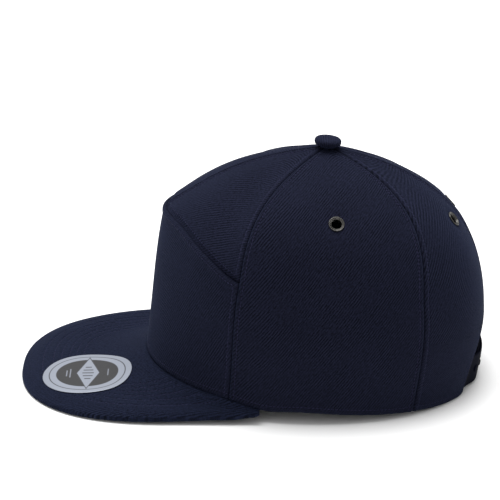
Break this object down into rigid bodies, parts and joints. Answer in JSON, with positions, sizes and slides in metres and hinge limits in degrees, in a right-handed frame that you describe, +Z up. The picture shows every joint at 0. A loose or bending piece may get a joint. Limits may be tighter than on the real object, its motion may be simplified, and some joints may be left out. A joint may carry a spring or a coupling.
{
  "type": "snapback cap",
  "caption": "Dark navy snapback cap with a high structured front, flat visor, covered top button, rolled eyelets and a plastic snap strap.",
  "frame": {"origin": "on the table, under the middle of the cap's box", "axes": "+Y from the visor to the back of the cap, +X to the wearer's left, +Z up from the table"},
  "size_m": [0.1664, 0.2844, 0.1529],
  "materials": {
    "twill": "matte",
    "visor_twill": "matte",
    "band_cloth": "matte",
    "snap_plastic": "satin",
    "eyelet_metal": "satin",
    "foil": "satin"
  },
  "bodies": {
    "root": {"front_panel": "twill", "upper_front_left": "twill", "upper_front_right": "twill", "side_panel_left": "twill", "side_panel_right": "twill", "back_panel_left": "twill", "back_panel_right": "twill", "top_button": "twill", "visor": "visor_twill", "visor_sticker": "foil", "sweatband": "band_cloth", "strap_holes": "snap_plastic", "strap_studs": "snap_plastic", "eyelet_side_left": "eyelet_metal", "eyelet_side_right": "eyelet_metal", "eyelet_back_left": "eyelet_metal", "eyelet_back_right": "eyelet_metal"}
  },
  "joints": []
}
